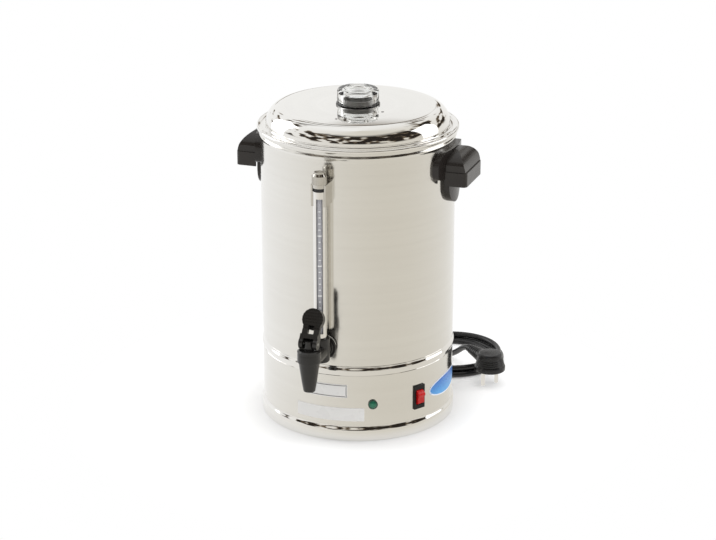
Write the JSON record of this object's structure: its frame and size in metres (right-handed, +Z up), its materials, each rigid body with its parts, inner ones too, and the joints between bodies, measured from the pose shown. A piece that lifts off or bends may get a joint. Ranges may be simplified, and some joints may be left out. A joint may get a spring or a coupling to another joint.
{
  "type": "coffee urn",
  "caption": "Upright steel coffee urn on a skirted base with side handles, a domed lift-off lid, a front tap with a sight gauge above it, and a coiled mains lead behind.",
  "frame": {"origin": "centre of the urn's base, on the surface that it stands on", "axes": "+Z up along the tank's axis, -Y towards the tap, +X and -X towards the handles"},
  "size_m": [0.2885, 0.4126, 0.385],
  "materials": {
    "tank_steel": "fine satin over a bright finish",
    "bright_steel": "polished",
    "inner_steel": "plain mill finish",
    "zinc_steel": "plated",
    "handle_black": "fine grained",
    "tap_black": "semi-gloss",
    "switch_black": "satin",
    "switch_red": "translucent, lit from inside when on",
    "lamp_green": "translucent lens",
    "clear_knob": "clear moulded plastic",
    "gauge_glass": "clear",
    "black_rubber": "matt",
    "white_rubber": "matt silicone",
    "cord_black": "smooth sheath",
    "white_plastic": "plain",
    "heater_cast": "as cast",
    "element_dark": "heat-darkened",
    "mica_tan": "mica sheet",
    "brass_terminal": "tinned brass",
    "wire_red": "silicone sleeve",
    "label_clear": "plain film, no printing",
    "label_blue": "plain film, no printing"
  },
  "bodies": {
    "urn": {"tank": "tank_steel", "base_skirt": "tank_steel", "base_plate": "zinc_steel", "feet": "black_rubber", "foot_screws": "zinc_steel", "heater_plate": "heater_cast", "heating_element": "element_dark", "warming_element": "mica_tan", "heater_stud": "zinc_steel", "heater_nut": "zinc_steel", "thermostat": "white_plastic", "dry_boil_cutout": "white_plastic", "terminal_block": "white_plastic", "wiring": "wire_red", "left_handle_shield": "handle_black", "right_handle_shield": "handle_black", "left_handle_grip": "handle_black", "right_handle_grip": "handle_black", "handle_screws": "zinc_steel", "tap_body": "tap_black", "tap_seals": "white_rubber", "tap_nut": "tap_black", "tap_bonnet": "tap_black", "lever_pin": "zinc_steel", "gauge_glass": "gauge_glass", "gauge_guard": "bright_steel", "gauge_bracket": "bright_steel", "bracket_screw": "zinc_steel", "gauge_seals": "black_rubber", "gauge_cap": "bright_steel", "switch_housing": "switch_black", "rocker_pin": "zinc_steel", "switch_terminals": "brass_terminal", "pilot_lens": "lamp_green", "pilot_ring": "white_plastic", "front_label": "label_clear", "lower_label": "label_clear", "side_label": "label_blue", "cord_relief": "black_rubber", "cord_lead": "cord_black", "cord_coil": "cord_black", "cord_tail": "cord_black", "plug_body": "black_rubber", "plug_pins": "bright_steel"},
    "pump": {"pump_tube": "inner_steel", "pump_bell": "inner_steel"},
    "basket": {"filter_basket": "inner_steel"},
    "cover": {"basket_cover": "inner_steel"},
    "lid": {"lid": "bright_steel", "knob_collar": "handle_black", "lid_knob": "clear_knob"},
    "lever": {"tap_lever": "tap_black"},
    "valve": {"valve_stem": "zinc_steel", "seat_cup": "white_rubber"},
    "rocker": {"switch_rocker": "switch_red"}
  },
  "joints": [
    {"name": "pump_lift", "type": "slide", "parent": "urn", "child": "pump", "axis": [0, 0, 1], "range_m": [0, 0.26]},
    {"name": "basket_lift", "type": "slide", "parent": "pump", "child": "basket", "axis": [0, 0, 1], "range_m": [0, 0.11]},
    {"name": "cover_lift", "type": "slide", "parent": "basket", "child": "cover", "axis": [0, 0, 1], "range_m": [0, 0.06]},
    {"name": "lid_lift", "type": "slide", "parent": "cover", "child": "lid", "axis": [0, 0, 1], "range_m": [0, 0.12]},
    {"name": "tap_pull", "type": "hinge", "parent": "urn", "child": "lever", "pos_m": [0, -0.163, 0.136], "axis": [1, 0, 0], "range_deg": [0, 45], "stiffness_Nm_per_rad": 0.6},
    {"name": "valve_rise", "type": "slide", "parent": "urn", "child": "valve", "axis": [0, 0, 1], "range_m": [0, 0.0026]},
    {"name": "switch_tilt", "type": "hinge", "parent": "urn", "child": "rocker", "pos_m": [0.09329, -0.05829, 0.0445], "axis": [-0.5299, -0.848, 0], "range_deg": [0, 22]}
  ],
  "couplings": [
    {"joint": "valve_rise", "follows": "tap_pull", "m_per_rad": 0.0032}
  ]
}
